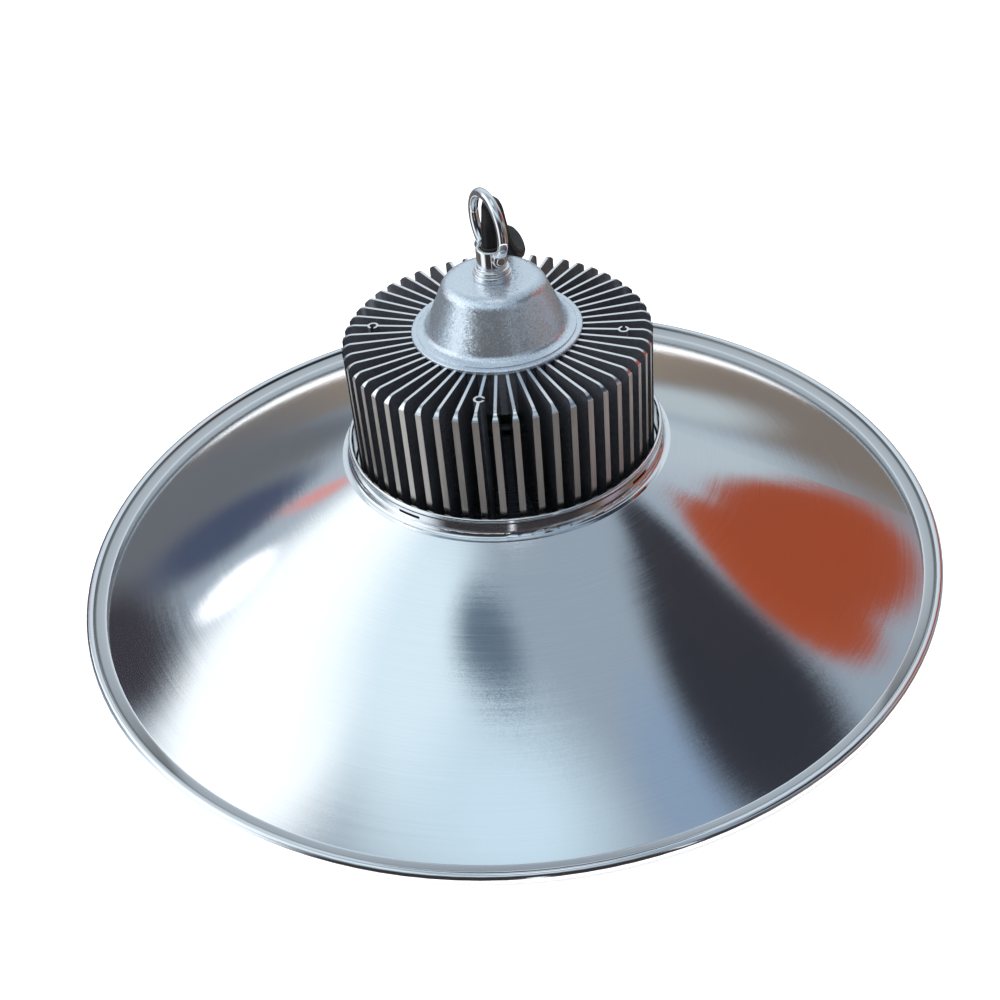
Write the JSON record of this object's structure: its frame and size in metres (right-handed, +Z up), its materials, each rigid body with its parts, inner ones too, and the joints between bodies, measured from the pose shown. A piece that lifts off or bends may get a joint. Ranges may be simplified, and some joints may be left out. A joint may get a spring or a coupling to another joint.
{
  "type": "high bay light",
  "caption": "High bay light: a wide spun reflector under a finned heatsink, with a cast cover, a swinging hook and a supply cable.",
  "frame": {"origin": "centre of the reflector rim, on the plane that the rim stands on", "axes": "+Z up along the lamp axis, from the rim to the hook; -Y faces the side with the vent window, +Y the side where the cable lies"},
  "size_m": [0.45, 0.45, 0.2051],
  "materials": {
    "bright_reflector": "spun, polished and anodised",
    "bright_ring": "pressed, bright",
    "black_anodised": "black anodised, machined edges bright",
    "bare_aluminium": "machined",
    "silver_paint": "silver paint with a sand texture",
    "hook_chrome": "polished chrome",
    "zinc_steel": "bright zinc",
    "stainless_screw": "stainless",
    "black_ring": "black anodised, satin",
    "lens_glass": "clear toughened glass",
    "white_board": "white solder mask",
    "led_phosphor": "yellow phosphor in a white package",
    "galvanised_sheet": "galvanised",
    "green_board": "green solder mask",
    "transformer_tape": "yellow tape",
    "capacitor_sleeve": "shrink sleeve",
    "choke_winding": "enamelled copper winding",
    "terminal_nylon": "white nylon",
    "clamp_nylon": "black nylon",
    "grey_silicone": "soft silicone",
    "white_silicone": "thermal silicone",
    "black_rubber": "moulded",
    "cable_sheath": "smooth sheath",
    "red_lead": "lead insulation",
    "brown_core": "core insulation",
    "blue_core": "core insulation",
    "earth_core": "green and yellow core insulation"
  },
  "bodies": {
    "lamp": {"base_plate": "bare_aluminium", "clamp_screws": "stainless_screw", "cord_clamp": "clamp_nylon", "cord_clamp_screw": "zinc_steel", "cord_core_blue": "blue_core", "cord_core_brown": "brown_core", "cord_core_earth": "earth_core", "cord_grommet": "black_rubber", "cord_tail": "cable_sheath", "cover_gasket": "grey_silicone", "cover_tie_screws": "zinc_steel", "driver_board": "green_board", "driver_board_screws": "zinc_steel", "driver_capacitors": "capacitor_sleeve", "driver_choke": "choke_winding", "driver_frame": "galvanised_sheet", "driver_transformer": "transformer_tape", "frame_screws": "zinc_steel", "heatsink": "black_anodised", "hook_sleeve": "hook_chrome", "hook_washer": "hook_chrome", "led_board": "white_board", "led_board_screws": "zinc_steel", "led_chips": "led_phosphor", "led_leads": "red_lead", "lens": "lens_glass", "lens_gasket": "grey_silicone", "lens_ring": "black_ring", "mains_lead_blue": "blue_core", "mains_lead_brown": "brown_core", "mains_lead_earth": "earth_core", "mounting_ring": "bright_ring", "pivot_pins": "hook_chrome", "reflector": "bright_reflector", "stem_nut": "zinc_steel", "stem_spring_washer": "zinc_steel", "supply_cord": "cable_sheath", "terminal_block": "terminal_nylon", "thermal_pad": "white_silicone", "top_cover": "silver_paint"},
    "bail": {"hook_bail": "hook_chrome"}
  },
  "joints": [
    {"name": "bail_swing", "type": "hinge", "parent": "lamp", "child": "bail", "pos_m": [0, 0, 0.1738], "axis": [0.454, -0.891, 0], "range_deg": [0, 105]}
  ]
}
